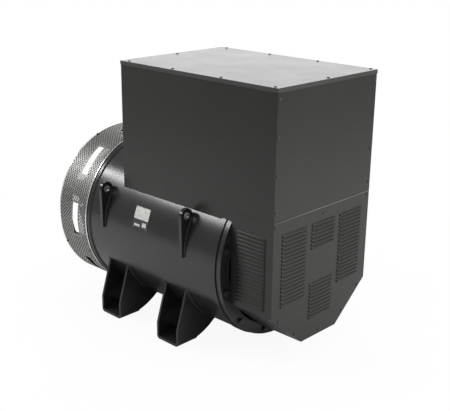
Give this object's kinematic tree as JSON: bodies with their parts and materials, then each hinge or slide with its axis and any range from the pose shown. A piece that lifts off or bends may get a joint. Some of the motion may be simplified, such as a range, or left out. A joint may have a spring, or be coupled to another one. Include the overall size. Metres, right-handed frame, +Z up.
{
  "type": "generator alternator head",
  "caption": "Single-bearing alternator head with a cylindrical frame, tall terminal box, louvred air inlet, perforated outlet guard, bent plate feet and lifting eyes.",
  "frame": {"origin": "centre of the drive-end adaptor's mating face, on the shaft axis", "axes": "+X along the shaft from the engine side to the bearing side, +Y towards the side without the nameplate, +Z up"},
  "size_m": [1.2534, 0.744, 1.101],
  "materials": {
    "frame_paint": "satin black paint",
    "box_paint": "satin black powder coat",
    "zinc_sheet": "zinc plated sheet",
    "guard_steel": "bright galvanised steel",
    "zinc_screws": "zinc plated fasteners",
    "bearing_steel": "ground bearing steel",
    "cage_brass": "machined brass",
    "laminations": "varnished lamination steel",
    "varnished_copper": "varnished copper winding",
    "turned_steel": "turned steel",
    "cast_aluminium": "cast aluminium",
    "bar_copper": "bare copper bar",
    "moulded_insulation": "moulded insulating resin",
    "regulator_case": "potted plastic case",
    "nameplate_metal": "bare etched metal plate"
  },
  "bodies": {
    "stator": {"drive_end_bracket": "frame_paint", "drive_bracket_bolts": "zinc_screws", "air_outlet_guard": "guard_steel", "guard_screws": "zinc_screws", "frame_front_ring": "frame_paint", "frame_shell": "frame_paint", "frame_rear_ring": "frame_paint", "foot_front_near": "frame_paint", "foot_front_far": "frame_paint", "foot_rear_near": "frame_paint", "foot_rear_far": "frame_paint", "lifting_lugs": "frame_paint", "rear_bracket": "frame_paint", "rear_bracket_bolts": "zinc_screws", "bearing_outer_ring": "bearing_steel", "bearing_cap_inner": "frame_paint", "bearing_cap_outer": "frame_paint", "bearing_cap_screws": "zinc_screws", "stator_core": "laminations", "stator_winding": "varnished_copper", "exciter_stator": "laminations", "exciter_field_coils": "varnished_copper", "exciter_screws": "zinc_screws", "box_side_near": "box_paint", "box_side_far": "box_paint", "box_front_panel": "box_paint", "box_rear_panel": "box_paint", "box_floor": "zinc_sheet", "box_saddles": "box_paint", "box_lid": "box_paint", "lid_screws": "zinc_screws", "rear_panel_screws": "zinc_screws", "terminal_insulators": "moulded_insulation", "busbars": "bar_copper", "busbar_bolts": "zinc_screws", "regulator_bracket": "zinc_sheet", "voltage_regulator": "regulator_case", "cover_wrapper": "box_paint", "rear_louvre_panel": "box_paint", "cover_top_rail": "zinc_sheet", "nameplate": "nameplate_metal", "nameplate_rivets": "zinc_screws"},
    "rotor": {"shaft": "turned_steel", "rotor_core": "laminations", "field_coils": "varnished_copper", "coupling_hub": "turned_steel", "drive_plates": "turned_steel", "plate_clamp_ring": "turned_steel", "clamp_ring_screws": "zinc_screws", "fan": "cast_aluminium", "exciter_armature": "laminations", "armature_winding": "varnished_copper", "rectifier_wheel": "cast_aluminium", "rectifier_diodes": "cast_aluminium", "bearing_inner_ring": "bearing_steel", "bearing_locknut": "bearing_steel"},
    "bearing_cage": {"bearing_cage": "cage_brass", "bearing_rollers": "bearing_steel"}
  },
  "joints": [
    {"name": "rotor_spin", "type": "hinge", "parent": "stator", "child": "rotor", "pos_m": [1.0045, 0, 0], "axis": [1, 0, 0], "continuous": true},
    {"name": "cage_spin", "type": "hinge", "parent": "stator", "child": "bearing_cage", "pos_m": [1.0045, 0, 0], "axis": [1, 0, 0], "continuous": true}
  ],
  "couplings": [
    {"joint": "cage_spin", "follows": "rotor_spin", "ratio": 0.412}
  ]
}
